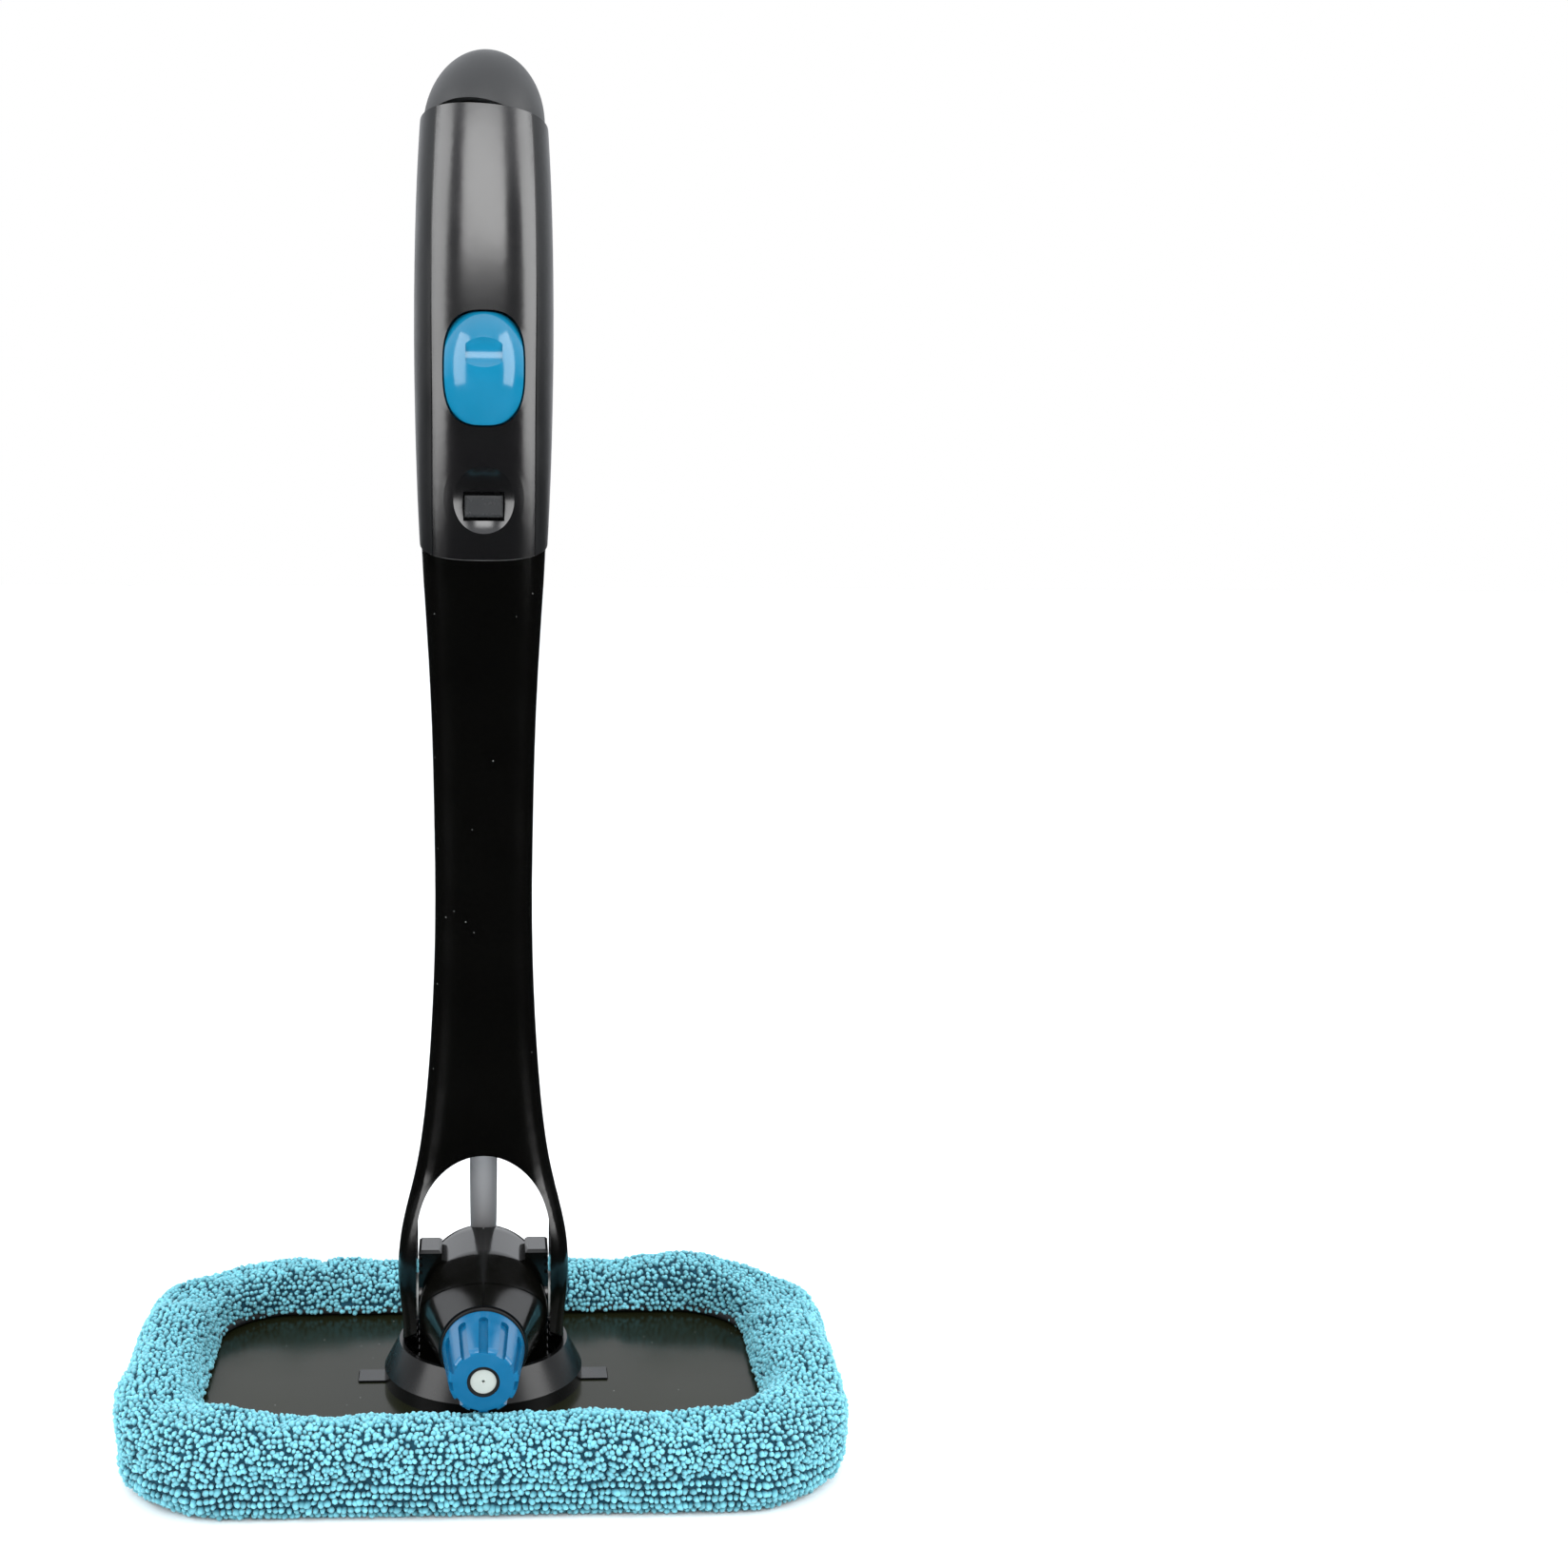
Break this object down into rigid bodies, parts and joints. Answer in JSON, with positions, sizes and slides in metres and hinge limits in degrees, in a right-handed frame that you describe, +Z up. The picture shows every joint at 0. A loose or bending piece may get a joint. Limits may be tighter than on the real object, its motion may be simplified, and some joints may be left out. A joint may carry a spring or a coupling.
{
  "type": "windscreen cleaning wand",
  "caption": "Hand-held windscreen cleaning wand: looped microfibre pad on a tilting forked handle, with a thumb-pumped washer spray.",
  "frame": {"origin": "centre of the pad's rest face, on the surface it lies on", "axes": "+Z up along the upright handle, +X along the pad's long side, the spray nozzle faces -Y"},
  "size_m": [0.2, 0.126, 0.3839],
  "materials": {
    "turquoise_microfibre": "looped microfibre pile",
    "hem_elastic": "covered elastic cord",
    "foam": "open-cell foam",
    "black_abs_gloss": "polished moulded ABS",
    "black_abs_satin": "satin moulded ABS",
    "charcoal_soft_touch": "satin moulded ABS",
    "grey_cap": "matte moulded ABS",
    "blue_button": "satin moulded ABS",
    "blue_nozzle": "moulded acetal",
    "white_acetal": "moulded acetal",
    "acetal": "moulded acetal",
    "grey_trim": "satin moulded plastic",
    "black_rubber": "moulded nitrile",
    "grey_silicone": "translucent extruded tube",
    "clear_polypropylene": "natural translucent moulding",
    "steel": "zinc-plated"
  },
  "bodies": {
    "head": {"bonnet": "turquoise_microfibre", "hem_elastic": "hem_elastic", "foam_pad": "foam", "base_plate": "black_abs_gloss", "base_screws": "steel", "collar_ring": "black_abs_gloss", "base_disc": "black_abs_satin", "knuckle_right": "black_abs_gloss", "knuckle_left": "black_abs_gloss", "knuckle_screws": "steel", "nozzle_stem": "black_abs_satin", "nozzle_seal": "black_rubber", "elbow_fitting": "acetal"},
    "handle": {"lower_arm": "black_abs_gloss", "arm_rear_cover": "black_abs_satin", "pivot_pin_right": "steel", "pivot_pin_left": "steel", "friction_washers": "acetal", "delivery_tube": "grey_silicone", "hose_coupler": "acetal", "flex_hose": "grey_silicone", "grip_front_panel": "black_abs_gloss", "grip_rear_shell": "charcoal_soft_touch", "grip_screws": "steel", "joint_gasket": "grey_trim", "pump_bracket": "black_abs_satin", "pump_barrel": "acetal", "pump_gland": "acetal", "check_balls": "steel", "outlet_sleeve": "grey_silicone", "suction_tube": "grey_silicone", "water_tank": "clear_polypropylene", "return_spring": "steel", "latch_spring": "steel"},
    "button": {"spray_button": "blue_button", "pump_piston": "acetal", "piston_seal": "black_rubber"},
    "latch": {"release_latch": "black_abs_satin"},
    "nozzle": {"nozzle_cap": "blue_nozzle", "jet_ring": "black_rubber", "jet_disc": "white_acetal"},
    "filler": {"end_cap": "grey_cap", "plug_ring": "black_rubber"}
  },
  "joints": [
    {"name": "handle_tilt", "type": "hinge", "parent": "head", "child": "handle", "pos_m": [0, 0, 0.038], "axis": [1, 0, 0], "range_deg": [-75, 50], "deforming": ["flex_hose"]},
    {"name": "spray_press", "type": "slide", "parent": "handle", "child": "button", "axis": [0, 1, 0], "range_m": [0, 0.005], "stiffness_N_per_m": 600, "deforming": ["return_spring"]},
    {"name": "latch_press", "type": "slide", "parent": "handle", "child": "latch", "axis": [0, 1, 0], "range_m": [0, 0.0025], "stiffness_N_per_m": 1500, "deforming": ["latch_spring"]},
    {"name": "nozzle_turn", "type": "hinge", "parent": "head", "child": "nozzle", "pos_m": [0, 0, 0.0364], "axis": [0, -0.9994, -0.0349], "range_deg": [0, 270]},
    {"name": "cap_pull", "type": "slide", "parent": "handle", "child": "filler", "axis": [0.0663, 0.309, 0.9487], "range_m": [0, 0.03]}
  ]
}
